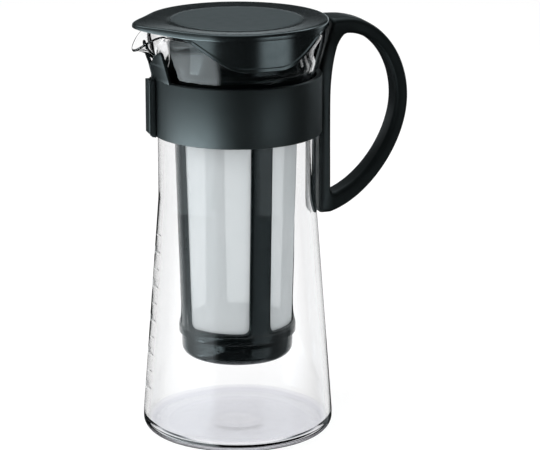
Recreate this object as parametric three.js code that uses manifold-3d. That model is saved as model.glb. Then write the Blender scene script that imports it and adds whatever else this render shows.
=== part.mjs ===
// A small cold brew pot. A glass carafe carries a plastic band and handle round its neck.
// A filter basket hangs in the mouth and a loose lid covers both.
// Lengths are in millimetres. The origin is on the table under the carafe's centre line,
// +Z points up, the spout points to -X and the handle to +X.

import * as THREE from 'three';
import { mergeVertices } from 'three/addons/utils/BufferGeometryUtils.js';
import Module from 'manifold-3d';

const wasm = await Module();
wasm.setup();

// Facets and clearances
const turnSteps = 72;
const cornerSteps = 4;
const gap = 0.3;
const overrun = 1.0;
const mergeWithin = 0.0001;

// Carafe glass: a cone with a straight neck and a flared mouth
const glassWall = 2.4;
const floorThick = 3.4;
const bellyR = 46.7;
const bellyZ = 8.0;
const baseCornerR = 5.3;
const neckR = 38.3;
const neckZ = 117.0;
const neckHigh = 60.6;
const mouthHigh = 22.6;
const mouthFlare = 4.3;
const flareEase_share = 0.74;
const footRingWidth = 7.0;
const footHollow = 0.9;
const footSlope = 1.6;
const footPadR = 9.0;
const mouthR = neckR + mouthFlare;
const mouthZ = neckZ + neckHigh;
const mouthRimZ = mouthZ + mouthHigh;

// Spout drawn out of the mouth
const spoutReach = 9.0;
const spoutDrop = 8.8;
const spoutHigh = 15.2;
const spoutAngle = 21;
const spoutKeelAngle = 4;
const spoutPull_share = 1.2;
const spoutRound_share = 0.7;
const spoutSpread_share = 1.9;

// Neck band
const bandHeight = 28.6;
const bandThick = 2.6;
const bandRise = 0.6;
const bandSlit = 0.7;
const railWidth = 2.0;
const railReach = 1.7;
const bandInR = neckR + gap;
const bandOutR = bandInR + bandThick;
const bandTopZ = mouthZ + bandRise;
const bandZ = bandTopZ - bandHeight;

// Prongs that stand up from the band's ends under the spout
const prongHigh = 15.0;
const prongRoot = 0.5;
const prongThick = 1.8;
const prongProud = 0.6;
const prongLean_share = 0.79;
const prongFootAngle = 23.5;
const prongTopAngle = 20.5;
const notchDeep = 6.5;
const notchAngle = 18;
const prongZ = bandTopZ + prongHigh;
const notchZ = prongZ - notchDeep;
const prongLean = mouthFlare * prongLean_share;

// Clasp that slides over the band's two end rails
const claspThick = 1.5;
const claspWall = 1.0;
const claspChamfer = 2.2;

// Filter frame: a cup with a flange that rests in the mouth, over a basket with four windows
const cupClear = 2.3;
const cupLift = 2.6;
const cupProud = 0.9;
const frameWall = 2.2;
const flangeThick = 1.6;
const pourAngle = 30;
const shoulderIn = 2.2;
const shoulderDrop = 5.7;
const basketTaper = 3.5;
const windowCount = 4;
const windowHigh = 115.4;
const windowDrop = 4.5;
const windowCornerR = 3.0;
const ribWidth = 10.9;
const ribTurn = 6.3;
const ringHigh = 5.5;
const ringProud = 0.7;
const ringSlope_share = 2;
const cupR = neckR - glassWall - cupClear;
const cupZ = mouthZ + cupLift;
const cupTopZ = mouthRimZ + cupProud;
const shoulderR = cupR - shoulderIn;
const shoulderZ = cupZ - shoulderDrop;
const basketFootR = shoulderR - basketTaper;
const windowTopZ = shoulderZ - windowDrop;
const windowZ = windowTopZ - windowHigh;
const ringR = basketFootR + ringProud;
const ringZ = windowZ - ringHigh;

// Filter mesh
const meshThick = 0.6;
const meshInset = 1.4;

// Filter cap
const capInset = 1.4;
const capHigh = 10.8;
const capCornerR = 4.4;
const capWall = 1.8;
const spigotHigh = 4.0;
const capR = ringR - capInset;
const capTopZ = ringZ - gap;
const capZ = capTopZ - capHigh;

// Lid
const lidSeat = 0.4;
const lidThick = 3.3;
const lidLand = 1.9;
const lidEdgeR = 1.2;
const lidFootR = 0.5;
const discR = 29.0;
const discDrop = 0.15;
const discDeep = 0.7;
const discSteps = 4;
const grooveRun = 1.7;
const grooveDeep = 1.0;
const lidStep = 0.5;
const lidSpoutReach = 7.0;
const lidSpoutAngle = 40;
const lidPullRun = 18.3;
const skirtThick = 0.9;
const skirtDeep = 14.3;
const skirtAngle = 56;
const skirtFlatAngle = 11;
const locatorClear = 1.6;
const locatorThick = 1.4;
const locatorDeep = 7.2;
const locatorOpenAngle = 78;
const lidR = mouthR + gap + skirtThick + lidStep;
const lidUnderZ = cupTopZ + lidSeat;
const lidZ = lidUnderZ + lidThick;
const locatorR = mouthR - glassWall - locatorClear;

// Handle, drawn in the plane of the spout: a spine on the band, a head by the lid and a grip
const handleWidth = 13.0;
const handleEdgeR = 1.7;
const spineRoot = 0.9;
const spineThick = 5.9;
const spineDrop = 43.4;
const spineHeelR = 1.6;
const headDrop = 1.5;
const headGap = 0.8;
const headWidth = 22.0;
const headDeep = 15.0;
const headLong = 20.9;
const headRun = 20.0;
const gripDeep = 39.8;
const gripHigh = 55.8;
const gripThick = 6.4;
const crownIn = 4.8;
const crownThick = 8.2;
const holeCrownIn = 7.8;
const heelThick = 9.8;
const holeHeelIn = 2.8;
const holeCornerHigh = 3.5;
const heelCurve_shares = [0.5, 0.1, 0.57];
const spineCurve_shares = [0.5, 0.2, 0.9];
const holeCrown_shares = [0.6, 0.5];
const holeHeel_shares = [0.38, 0.56, 0.15];
const spineInX = bandOutR - spineRoot;
const spineOutX = spineInX + spineThick;
const spineZ = bandZ - spineDrop;
const headInX = lidR + headGap;
const headZ = lidZ - headDrop;
const gripReach = spineOutX + gripDeep;
const gripZ = spineZ + gripHigh;

const degree = Math.PI / 180;
const halfTurn = 180;
const fullTurn = 360;

// Small maths
const clamp01 = (t) => Math.min(1, Math.max(0, t));
const ease = (t) => clamp01(t) ** 2 * (3 - 2 * clamp01(t));
const mix = (a, b, t) => a + (b - a) * t;
const spread = (n, f) => Array.from({ length: n + 1 }, (_, i) => f(i / n));
const point = (x, y) => new THREE.Vector2(x, y);
const fromSpout = (x, y) => Math.abs(Math.atan2(y, -x)) / degree;

// Round stretch of an outline about a centre, from one angle to another
function arc(x, y, r, from, to, steps = cornerSteps) {
  return spread(steps, (t) => {
    const a = mix(from, to, t) * degree;
    return point(x + r * Math.cos(a), y + r * Math.sin(a));
  });
}

// Closed mesh to solid, with its shared vertices merged and its faces turned out
function solidOf(geometry) {
  const bare = new THREE.BufferGeometry();
  bare.setAttribute('position', geometry.getAttribute('position'));
  bare.setIndex(geometry.getIndex());
  const merged = mergeVertices(bare, mergeWithin);
  const place = merged.getAttribute('position').array;
  const corners = merged.getIndex().array;
  const faces = [];
  for (let i = 0; i < corners.length; i += 3) {
    const [a, b, c] = corners.slice(i, i + 3);
    if (a !== b && b !== c && c !== a) faces.push([a, b, c]);
  }
  const at = (i) => new THREE.Vector3().fromArray(place, i * 3);
  const volume = faces.reduce((sum, [a, b, c]) => sum + at(a).dot(at(b).cross(at(c))), 0);
  const outward = volume < 0 ? faces.map(([a, b, c]) => [a, c, b]) : faces;
  return new wasm.Manifold(new wasm.Mesh({
    numProp: 3,
    vertProperties: new Float32Array(place),
    triVerts: new Uint32Array(outward.flat()),
  }));
}

// Solid back to a mesh geometry
function geometryOf(solid) {
  const mesh = solid.getMesh();
  const geometry = new THREE.BufferGeometry();
  geometry.setAttribute('position', new THREE.BufferAttribute(mesh.vertProperties, mesh.numProp));
  geometry.setIndex(new THREE.BufferAttribute(mesh.triVerts, 1));
  return geometry;
}

// Every vertex of a geometry moved by one rule
function moved(geometry, rule) {
  const place = geometry.getAttribute('position');
  for (let i = 0; i < place.count; i += 1) {
    const v = new THREE.Vector3().fromBufferAttribute(place, i);
    place.setXYZ(i, ...rule(v).toArray());
  }
  return geometry;
}

// Turned shape about +Z from an outline of radius and height
const turned = (outline) => new THREE.LatheGeometry(outline, turnSteps).rotateX(Math.PI / 2);

// Wall that follows a circle: angles in degrees, radii and heights may follow the wall's place
function bentWall({ from, to, inner, outer, low, high, highSteps = 1 }) {
  const steps = Math.max(2, Math.round((Math.abs(to - from) / fullTurn) * turnSteps));
  const block = new THREE.BoxGeometry(1, 1, 1, steps, 1, highSteps);
  return moved(block, (v) => {
    const across = v.x + 1 / 2;
    const up = v.z + 1 / 2;
    const a = mix(from, to, across) * degree;
    const z = mix(low(across), high(across), up);
    const r = mix(inner(up), outer(up), v.y + 1 / 2);
    return new THREE.Vector3(r * Math.cos(a), r * Math.sin(a), z);
  });
}

const fixed = (value) => () => value;

function box(x0, x1, y0, y1, z0, z1) {
  const block = new THREE.BoxGeometry(x1 - x0, y1 - y0, z1 - z0);
  return solidOf(block.translate((x0 + x1) / 2, (y0 + y1) / 2, (z0 + z1) / 2));
}

// Radius of the glass outside, at a height above the belly
function glassR(z) {
  if (z < neckZ) return mix(bellyR, neckR, (z - bellyZ) / (neckZ - bellyZ));
  const t = clamp01((z - mouthZ) / (mouthRimZ - mouthZ));
  return mix(neckR, mouthR, ease(t ** flareEase_share));
}

const glassInnerR = (z) => glassR(z) - glassWall;

// Spout: how far the mouth's glass is drawn out and down, in a keel that opens towards the rim
function spoutPull(z, off) {
  const t = clamp01((z - mouthRimZ + spoutHigh) / spoutHigh);
  const spreadAngle = mix(spoutKeelAngle, spoutAngle, t ** spoutSpread_share);
  const share = 1 - ease(off / spreadAngle);
  return point(spoutReach * t ** spoutPull_share * share ** spoutRound_share, -spoutDrop * t ** 2 * share);
}

// The outside follows that pull, and the wall's thickness stands square to the drawn lip
function drawSpout(v) {
  if (v.z < mouthRimZ - spoutHigh) return v;
  const off = fromSpout(v.x, v.y);
  const pull = spoutPull(v.z, off);
  const along = pull.clone().sub(spoutPull(v.z - gap, off)).add(point(0, gap)).normalize();
  const r = Math.hypot(v.x, v.y);
  const depth = glassR(v.z) - r;
  const drawnR = r + pull.x + depth * (1 - along.y);
  const out = drawnR / r;
  return new THREE.Vector3(v.x * out, v.y * out, v.z + pull.y + depth * along.x);
}

function carafeGlass() {
  const baseR = bellyR - baseCornerR;
  const ringInR = baseR - footRingWidth;
  const flareSteps = 8;
  const heights = spread(flareSteps, (t) => mix(mouthZ, mouthRimZ - glassWall / 2, t));
  const rimR = glassR(mouthRimZ) - glassWall / 2;
  const innerCornerR = baseCornerR - glassWall / 2;
  const innerBaseR = bellyR - glassWall - innerCornerR;
  const outline = [
    point(0, 0),
    point(footPadR, 0),
    point(footPadR + footSlope, footHollow),
    point(ringInR - footSlope, footHollow),
    point(ringInR, 0),
    ...arc(baseR, baseCornerR, baseCornerR, -90, 0),
    point(bellyR, bellyZ),
    point(neckR, neckZ),
    ...heights.map((z) => point(glassR(z), z)),
    ...arc(rimR, mouthRimZ - glassWall / 2, glassWall / 2, 45, 135, 2),
    ...heights.toReversed().map((z) => point(glassInnerR(z), z)),
    point(neckR - glassWall, neckZ),
    point(bellyR - glassWall, bellyZ),
    ...arc(innerBaseR, floorThick + innerCornerR, innerCornerR, 0, -90),
    point(0, floorThick),
  ];
  return solidOf(moved(turned(outline), drawSpout));
}

function neckBand() {
  const slitAngle = (bandSlit / 2 / bandOutR) / degree;
  const ring = solidOf(bentWall({
    from: slitAngle - halfTurn,
    to: halfTurn - slitAngle,
    inner: fixed(bandInR),
    outer: fixed(bandOutR),
    low: fixed(bandZ),
    high: fixed(bandTopZ),
  }));
  const rails = [-1, 1].map((side) => {
    const edges = [side * (bandSlit / 2), side * (bandSlit / 2 + railWidth)].sort((a, b) => a - b);
    return box(-bandOutR - railReach, -bandInR - bandThick / 2, ...edges, bandZ, bandTopZ);
  });
  return ring.add(rails[0]).add(rails[1]);
}

// Two prongs that lean out with the mouth, with a notch between them for the spout's keel
function prongs() {
  const footZ = bandTopZ - prongRoot;
  const footR = bandOutR + prongProud - prongThick;
  const plate = solidOf(bentWall({
    from: halfTurn - prongFootAngle,
    to: halfTurn + prongFootAngle,
    inner: (up) => footR + prongLean * up,
    outer: (up) => footR + prongThick + prongLean * up,
    low: fixed(footZ),
    high: fixed(prongZ),
    highSteps: 3,
  }));
  const halfAt = (angle) => (bandOutR + prongLean) * Math.sin(angle * degree);
  const slit = bandSlit / 2;
  const keep = new THREE.Shape([
    point(-halfAt(prongFootAngle), footZ),
    point(-slit, footZ),
    point(-slit, notchZ),
    point(-halfAt(notchAngle), prongZ + overrun),
    point(-halfAt(prongTopAngle), prongZ + overrun),
  ]);
  const depth = bandOutR;
  const side = new THREE.ExtrudeGeometry(keep, { depth, bevelEnabled: false });
  side.rotateX(Math.PI / 2).rotateZ(Math.PI / 2).translate(-depth - neckR / 2, 0, 0);
  const far = solidOf(side);
  const near = far.mirror([0, 1, 0]);
  return plate.intersect(far.add(near));
}

// Side outline of the handle in the X Z plane, with its finger hole
function handleOutline() {
  const shape = new THREE.Shape();
  const [heelOut, heelUp, heelTurn] = heelCurve_shares;
  shape.moveTo(spineInX + spineHeelR, spineZ);
  shape.lineTo(spineOutX, spineZ);
  shape.bezierCurveTo(
    mix(spineOutX, gripReach, heelOut), mix(spineZ, gripZ, heelUp),
    gripReach, mix(spineZ, gripZ, heelTurn),
    gripReach, gripZ,
  );
  const crownX = spineOutX + crownIn;
  shape.absellipse(crownX, gripZ, gripReach - crownX, headZ - gripZ, 0, Math.PI / 2, false, 0);
  const [leanTop, leanFoot, leanEnd] = spineCurve_shares;
  shape.lineTo(headInX + spineHeelR, headZ);
  shape.lineTo(headInX, headZ - spineHeelR);
  shape.bezierCurveTo(
    headInX, mix(bandTopZ, headZ, leanTop),
    spineInX, mix(bandTopZ, headZ, leanFoot),
    spineInX, mix(bandZ, bandTopZ, leanEnd),
  );
  shape.lineTo(spineInX, spineZ + spineHeelR);
  shape.closePath();

  const hole = new THREE.Path();
  const holeOutX = gripReach - gripThick;
  const holeCrownX = spineOutX + holeCrownIn;
  const holeTopZ = headZ - crownThick;
  const holeHeelX = spineOutX + holeHeelIn;
  const holeHeelZ = spineZ + heelThick;
  const [crownUp, crownAcross] = holeCrown_shares;
  const [heelDown, heelIn, heelLift] = holeHeel_shares;
  hole.moveTo(spineOutX, holeHeelZ + holeCornerHigh);
  hole.lineTo(spineOutX, gripZ);
  hole.bezierCurveTo(
    spineOutX, mix(gripZ, holeTopZ, crownUp),
    mix(spineOutX, holeCrownX, crownAcross), holeTopZ,
    holeCrownX, holeTopZ,
  );
  hole.absellipse(holeCrownX, gripZ, holeOutX - holeCrownX, holeTopZ - gripZ, Math.PI / 2, 0, true, 0);
  hole.bezierCurveTo(
    holeOutX, mix(gripZ, holeHeelZ, heelDown),
    mix(holeHeelX, holeOutX, heelIn), mix(holeHeelZ, gripZ, heelLift),
    holeHeelX, holeHeelZ,
  );
  hole.quadraticCurveTo(spineOutX, holeHeelZ, spineOutX, holeHeelZ + holeCornerHigh);
  shape.holes.push(hole);
  return shape;
}

// Half width of the handle: the head that meets the lid is broader than the grip
function handleHalf(x, z) {
  const high = ease((z - headZ + headDeep) / headDeep);
  const near = ease((headInX + headLong - x) / headRun);
  return mix(handleWidth, headWidth, high * near) / 2;
}

function handleGrip() {
  const flat = handleWidth - 2 * handleEdgeR;
  const geometry = new THREE.ExtrudeGeometry(handleOutline(), {
    depth: flat,
    curveSegments: 10,
    bevelSize: handleEdgeR,
    bevelThickness: handleEdgeR,
    bevelOffset: -handleEdgeR,
    bevelSegments: 2,
  });
  geometry.translate(0, 0, -flat / 2).rotateX(Math.PI / 2);
  return solidOf(moved(geometry, (v) => {
    const widen = handleHalf(v.x, v.z) / (handleWidth / 2);
    return new THREE.Vector3(v.x, v.y * widen, v.z);
  }));
}

const handleBand = () => handleGrip().add(neckBand()).add(prongs());

// Channel with two side walls that hold the band's end rails together
function bandClasp() {
  const inX = -bandOutR - railReach - gap;
  const outX = inX - claspThick;
  const wallIn = bandSlit / 2 + railWidth + gap;
  const wallOut = wallIn + claspWall;
  const wallEndX = -bandOutR - gap;
  const topZ = bandTopZ - prongRoot - gap;
  const plate = box(outX, inX, -wallOut, wallOut, bandZ, topZ);
  const walls = [-1, 1].map((side) => {
    const edges = [side * wallIn, side * wallOut].sort((a, b) => a - b);
    return box(inX - claspThick / 2, wallEndX, ...edges, bandZ, topZ);
  });
  const corner = new THREE.Shape([
    point(outX - overrun, bandZ - overrun),
    point(outX + claspChamfer + overrun, bandZ - overrun),
    point(outX - overrun, bandZ + claspChamfer + overrun),
  ]);
  const deep = 2 * (wallOut + overrun);
  const cut = new THREE.ExtrudeGeometry(corner, { depth: deep, bevelEnabled: false });
  cut.translate(0, 0, -deep / 2).rotateX(Math.PI / 2);
  return plate.add(walls[0]).add(walls[1]).subtract(solidOf(cut));
}

// Outside radius of the tapered basket at a height
const basketR = (z) => mix(basketFootR, shoulderR, (z - windowZ) / (shoulderZ - windowZ));

// Window between two ribs, grown or shrunk by a margin, as a cutter that points outwards
function windowCutter(index, margin) {
  const low = windowZ - margin;
  const high = windowTopZ + margin;
  const corner = windowCornerR + margin;
  const rows = [
    ...arc(0, low + corner, corner, -90, 0),
    ...arc(0, high - corner, corner, 0, 90),
  ];
  const sideSteps = 12;
  const halfAngle = (r, inset) => {
    const rib = Math.asin(ribWidth / 2 / r) / degree;
    return fullTurn / windowCount / 2 - rib - (inset / r) / degree;
  };
  const edge = rows.map(({ x, y }) => point(halfAngle(basketR(y), corner - x - margin), y));
  const acrossRow = (row, from, to) => spread(sideSteps, (t) => point(mix(from, to, t) * row.x, row.y));
  const outline = [
    ...acrossRow(edge[0], -1, 1).slice(1, -1),
    ...edge,
    ...acrossRow(edge.at(-1), 1, -1).slice(1, -1),
    ...edge.toReversed().map((p) => point(-p.x, p.y)),
  ];
  const depth = shoulderR;
  const cutter = new THREE.ExtrudeGeometry(new THREE.Shape(outline), { depth, bevelEnabled: false });
  const centre = halfTurn + ribTurn + (fullTurn / windowCount) * (index + 1 / 2);
  return solidOf(moved(cutter, (v) => {
    const a = (centre + v.x) * degree;
    const r = basketFootR / 2 + v.z;
    return new THREE.Vector3(r * Math.cos(a), r * Math.sin(a), v.y);
  }));
}

function filterFrame() {
  const flangeR = glassInnerR(cupZ) - gap;
  const ringInR = capR - capWall;
  const outline = [
    point(ringInR, ringZ),
    point(ringR, ringZ),
    point(ringR, windowZ - ringProud * ringSlope_share),
    point(basketFootR, windowZ),
    point(shoulderR, shoulderZ),
    point(cupR, cupZ),
    point(flangeR, cupZ),
    point(flangeR, cupZ + flangeThick),
    point(cupR, cupZ + flangeThick),
    point(cupR, cupTopZ),
    point(cupR - frameWall, cupTopZ),
    point(cupR - frameWall, cupZ),
    point(shoulderR - frameWall, shoulderZ),
    point(basketFootR - frameWall, windowZ),
    point(ringInR, windowZ - frameWall / 2),
    point(ringInR, ringZ),
  ];
  let frame = solidOf(turned(outline));
  for (let i = 0; i < windowCount; i += 1) frame = frame.subtract(windowCutter(i, 0));
  const pour = bentWall({
    from: halfTurn - pourAngle,
    to: halfTurn + pourAngle,
    inner: fixed(cupR),
    outer: fixed(flangeR + overrun),
    low: fixed(cupZ - overrun),
    high: fixed(cupZ + flangeThick + overrun),
  });
  return frame.subtract(solidOf(pour));
}

// One curved panel of the mesh, held in its window
function meshPanel(index) {
  const low = windowZ - overrun;
  const high = windowTopZ + overrun;
  const outline = [
    point(basketR(low) - meshInset - meshThick, low),
    point(basketR(low) - meshInset, low),
    point(basketR(high) - meshInset, high),
    point(basketR(high) - meshInset - meshThick, high),
    point(basketR(low) - meshInset - meshThick, low),
  ];
  return solidOf(turned(outline)).intersect(windowCutter(index, -gap));
}

function filterCap() {
  const spigotR = capR - capWall - gap;
  const spigotInR = spigotR - capWall;
  const outline = [
    point(0, capZ),
    ...arc(capR - capCornerR, capZ + capCornerR, capCornerR, -90, 0),
    point(capR, capTopZ),
    point(spigotR, capTopZ),
    point(spigotR, capTopZ + spigotHigh),
    point(spigotInR, capTopZ + spigotHigh),
    ...arc(spigotInR - capCornerR / 2, capZ + capWall + capCornerR / 2, capCornerR / 2, 0, -90, 2),
    point(0, capZ + capWall),
  ];
  return solidOf(turned(outline));
}

// The lid's rim is drawn out over the spout
function drawLid(v) {
  const r = Math.hypot(v.x, v.y);
  if (r < lidR - lidPullRun) return v;
  const share = (1 - ease(fromSpout(v.x, v.y) / lidSpoutAngle)) ** 2;
  const out = 1 + (lidSpoutReach * share * ease((r - lidR + lidPullRun) / lidPullRun)) / r;
  return new THREE.Vector3(v.x * out, v.y * out, v.z);
}

function lidSkirt(side) {
  const centre = side * (halfTurn / 2);
  const outR = lidR - lidStep;
  const depthAt = (across) => {
    const off = Math.abs(mix(-skirtAngle, skirtAngle, across));
    return skirtDeep * ease((skirtAngle - off) / (skirtAngle - skirtFlatAngle));
  };
  return solidOf(bentWall({
    from: centre - skirtAngle,
    to: centre + skirtAngle,
    inner: fixed(outR - skirtThick),
    outer: fixed(outR),
    low: (across) => lidUnderZ - gap - depthAt(across),
    high: fixed(lidUnderZ + overrun),
  }));
}

function lid() {
  const disc = spread(discSteps, (t) => {
    const deep = discDrop + discDeep * (1 - t ** 2);
    return point(discR * t, lidZ - deep);
  });
  const outline = [
    ...disc,
    point(discR + grooveRun, lidZ - grooveDeep),
    point(lidR - lidLand, lidZ),
    ...arc(lidR - lidEdgeR, lidZ - lidEdgeR, lidEdgeR, 90, 0),
    ...arc(lidR - lidFootR, lidUnderZ + lidFootR, lidFootR, 0, -90, 2),
    point(0, lidUnderZ),
  ];
  const plate = solidOf(moved(turned(outline), drawLid));
  const locator = solidOf(bentWall({
    from: locatorOpenAngle - halfTurn,
    to: halfTurn - locatorOpenAngle,
    inner: fixed(locatorR - locatorThick),
    outer: fixed(locatorR),
    low: fixed(lidUnderZ - locatorDeep),
    high: fixed(lidUnderZ + overrun),
  }));
  return plate.add(locator).add(lidSkirt(-1)).add(lidSkirt(1));
}

// Finishes
const plastic = { color: 0x23282d, roughness: 0.45, metalness: 0 };
const glossPlastic = { color: 0x1a1e22, roughness: 0.25, metalness: 0 };
const clearGlass = { color: 0xf2f6f6, roughness: 0.03, metalness: 0, transparent: true, opacity: 0.25 };
const meshCloth = { color: 0xb9c3c8, roughness: 0.7, metalness: 0, transparent: true, opacity: 0.85 };

const pot = new THREE.Group();

function addPiece(name, solid, finish) {
  const mesh = new THREE.Mesh(geometryOf(solid), new THREE.MeshStandardMaterial(finish));
  mesh.name = name;
  pot.add(mesh);
}

addPiece('carafe_glass', carafeGlass(), clearGlass);
addPiece('handle_band', handleBand(), plastic);
addPiece('band_clasp', bandClasp(), plastic);
addPiece('filter_frame', filterFrame(), glossPlastic);
for (let i = 0; i < windowCount; i += 1) addPiece(`filter_mesh_${i + 1}`, meshPanel(i), meshCloth);
addPiece('filter_cap', filterCap(), glossPlastic);
addPiece('lid', lid(), plastic);

export default pot;
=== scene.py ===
# %% [markdown] This lesson dresses a cold brew pot: a glass carafe with a plastic band and
# handle, a filter basket with a fine mesh, and a lid. A CAD model of it is already packed, with
# its moving parts.

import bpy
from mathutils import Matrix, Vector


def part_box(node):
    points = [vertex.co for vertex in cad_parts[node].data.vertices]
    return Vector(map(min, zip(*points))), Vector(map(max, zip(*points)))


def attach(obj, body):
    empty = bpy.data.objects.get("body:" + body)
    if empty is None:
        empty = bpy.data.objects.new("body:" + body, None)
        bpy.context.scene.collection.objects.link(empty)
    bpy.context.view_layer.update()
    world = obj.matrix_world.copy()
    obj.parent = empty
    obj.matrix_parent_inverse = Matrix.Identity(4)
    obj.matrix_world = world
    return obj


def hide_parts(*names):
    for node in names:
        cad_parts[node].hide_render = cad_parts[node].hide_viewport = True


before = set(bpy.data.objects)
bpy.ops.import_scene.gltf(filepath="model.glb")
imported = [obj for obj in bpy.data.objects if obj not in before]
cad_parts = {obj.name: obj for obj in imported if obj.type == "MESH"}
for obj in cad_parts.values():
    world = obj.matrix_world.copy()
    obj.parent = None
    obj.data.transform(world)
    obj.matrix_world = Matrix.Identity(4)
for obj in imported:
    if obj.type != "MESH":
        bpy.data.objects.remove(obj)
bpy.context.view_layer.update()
print("nodes:", sorted(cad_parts))

# %% [markdown]
# Lengths are in millimetres, as on a maker's drawing, and one scale turns them into Blender's
# metres where a mesh is made. The main sizes are read from the boxes of the CAD nodes, so the
# looks follow when the model changes. The smaller ones are named beside the piece they shape.

# %% Units and main sizes
import math

import bmesh
import bpy
from mathutils import Matrix, Vector

MM = 0.001
TAU = math.tau


def corners(node):
    low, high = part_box(node)
    return low / MM, high / MM


_, glass_high = corners("carafe_glass")
grip_low, grip_high = corners("handle_band")
clasp_low, clasp_high = corners("band_clasp")
frame_low, frame_high = corners("filter_frame")
cap_low, cap_high = corners("filter_cap")
lid_low, lid_high = corners("lid")

belly_r = glass_high.y
cup_top = frame_high.z
cup_proud = 0.9
rim_z = cup_top - cup_proud
band_r = grip_high.y
band_z = clasp_low.z
cup_r = -frame_low.x
lid_r = lid_high.x
lid_z = lid_high.z
print(f"glass {rim_z:.1f} high, belly radius {belly_r:.1f}, lid radius {lid_r:.1f} mm")

# %% [markdown]
# The camera stands where the photographer stood: a little to the left, and above the lid, with
# a long lens. A long lens keeps the pot's sides almost parallel, as in a catalogue picture. The
# same helper that aims the camera aims the lamps later on.

# %% Camera
camera_at = (-363, -1189, 440)
camera_aim = (15.3, -4.7, 102)
lens_mm = 175.8


def place(point):
    return Vector(point) * MM


def new_object(name, data):
    obj = bpy.data.objects.new(name, data)
    bpy.context.collection.objects.link(obj)
    return obj


def look(obj, at, aim):
    """Stands a camera or a lamp at a place, turned to its aim."""
    way = Vector(aim) - Vector(at)
    obj.location = at
    obj.rotation_euler = way.to_track_quat("-Z", "Y").to_euler()
    return way


camera_data = bpy.data.cameras.new("catalogue_camera")
camera_data.lens = lens_mm
camera = new_object("catalogue_camera", camera_data)
view = look(camera, place(camera_at), place(camera_aim))
bpy.context.scene.camera = camera
print(f"camera {view.length:.2f} m from its aim, lens {lens_mm} mm")

# %% [markdown]
# Both materials and procedural shapes are node trees. Trees could be built node by node, which
# hides the sum in long lists of links. Here a Value wraps a socket, so that a formula in Python
# becomes a chain of Math nodes: the reader sees the formula, and Blender sees the nodes.

# %% Values with arithmetic


class Value:
    """A node's socket. Arithmetic on it adds Math nodes to its tree."""

    def __init__(self, nodes, socket):
        self.nodes = nodes
        self.socket = socket

    def math(self, operation, first, second=0.0):
        return self.nodes.add("ShaderNodeMath", {"operation": operation}, {0: first, 1: second})

    def __add__(self, other):
        return self.math("ADD", self, other)

    __radd__ = __add__

    def __sub__(self, other):
        return self.math("SUBTRACT", self, other)

    def __rsub__(self, other):
        return self.math("SUBTRACT", other, self)

    def __mul__(self, other):
        return self.math("MULTIPLY", self, other)

    __rmul__ = __mul__

    def __truediv__(self, other):
        return self.math("DIVIDE", self, other)

    def __rtruediv__(self, other):
        return self.math("DIVIDE", other, self)

    def __pow__(self, other):
        return self.math("POWER", self, other)

    def __mod__(self, other):
        return self.math("MODULO", self, other)

    def __abs__(self):
        return self.math("ABSOLUTE", self)

    def high(self, other):
        return self.math("MAXIMUM", self, other)

    def low(self, other):
        return self.math("MINIMUM", self, other)

    def sine(self):
        return self.math("SINE", self)

    def cosine(self):
        return self.math("COSINE", self)

    def floor(self):
        return self.math("FLOOR", self)

    def smooth(self, start, end):
        span = {"Value": self, "From Min": start, "From Max": end}
        return self.nodes.add("ShaderNodeMapRange", {"interpolation_type": "SMOOTHSTEP"}, span)

    def smooth_mm(self, start, end):
        return self.smooth(start * MM, end * MM)

    def within(self, start, end, soft):
        return self.smooth(start - soft, start + soft) * (1 - self.smooth(end - soft, end + soft))

    def output(self, name):
        return Value(self.nodes, self.nodes.find(self.socket.node.outputs, name))


print("a value knows:", ", ".join(name for name in vars(Value) if not name.startswith("_")))

# %% [markdown]
# The tree itself gets one method that adds any node: its type, its settings, then what goes into
# its sockets. The few mixes and textures that this pot needs more than once are short names for
# calls of that method. Colours go through Mix, because a Math node would turn them grey.

# %% Node trees


class Nodes:
    """A node tree that is being built."""

    def __init__(self, tree):
        self.tree = tree
        tree.nodes.clear()

    def find(self, sockets, name):
        if isinstance(name, int):
            return sockets[name]
        return next(s for s in sockets if s.name == name and s.enabled)

    def feed(self, socket, value):
        if isinstance(value, Value):
            self.tree.links.new(value.socket, socket)
        else:
            socket.default_value = value

    def add(self, kind, settings=None, sockets=None, output=0):
        node = self.tree.nodes.new(kind)
        for name, value in (settings or {}).items():
            setattr(node, name, value)
        for name, value in (sockets or {}).items():
            self.feed(self.find(node.inputs, name), value)
        return Value(self, self.find(node.outputs, output)) if node.outputs else node

    def parts(self, vector):
        split = self.add("ShaderNodeSeparateXYZ", None, {0: vector})
        return split, split.output("Y"), split.output("Z")

    def join(self, x, y, z):
        return self.add("ShaderNodeCombineXYZ", None, {"X": x, "Y": y, "Z": z})

    def mix(self, factor, first, second):
        ends = {"Factor": factor, "A": first, "B": second}
        return self.add("ShaderNodeMix", {"data_type": "RGBA"}, ends, "Result")

    def blend(self, factor, first, second):
        return self.add("ShaderNodeMixShader", None, {0: factor, 1: first, 2: second})

    def noise(self, vector, size, detail):
        grain = {"Vector": vector, "Scale": 1 / (size * MM), "Detail": detail}
        return self.add("ShaderNodeTexNoise", None, grain)

    def bump(self, height, depth, strength):
        relief = {"Strength": strength, "Distance": depth * MM, "Height": height}
        return self.add("ShaderNodeBump", None, relief)


print("a tree knows:", ", ".join(name for name in vars(Nodes) if not name.startswith("_")))

# %% [markdown]
# The moulded pieces could be pushed and pulled by hand. Rules are quicker to change, so they are
# lofts: rings of points joined with four-sided faces, which is how a moulded bar of changing
# section is drawn. A slab is two grids of points with a rim of faces between them.

# %% Lofts and slabs


def mesh_object(name, points, faces):
    mesh = bpy.data.meshes.new(name)
    mesh.from_pydata([place(p) for p in points], [], faces)
    return new_object(name, mesh)


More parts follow.
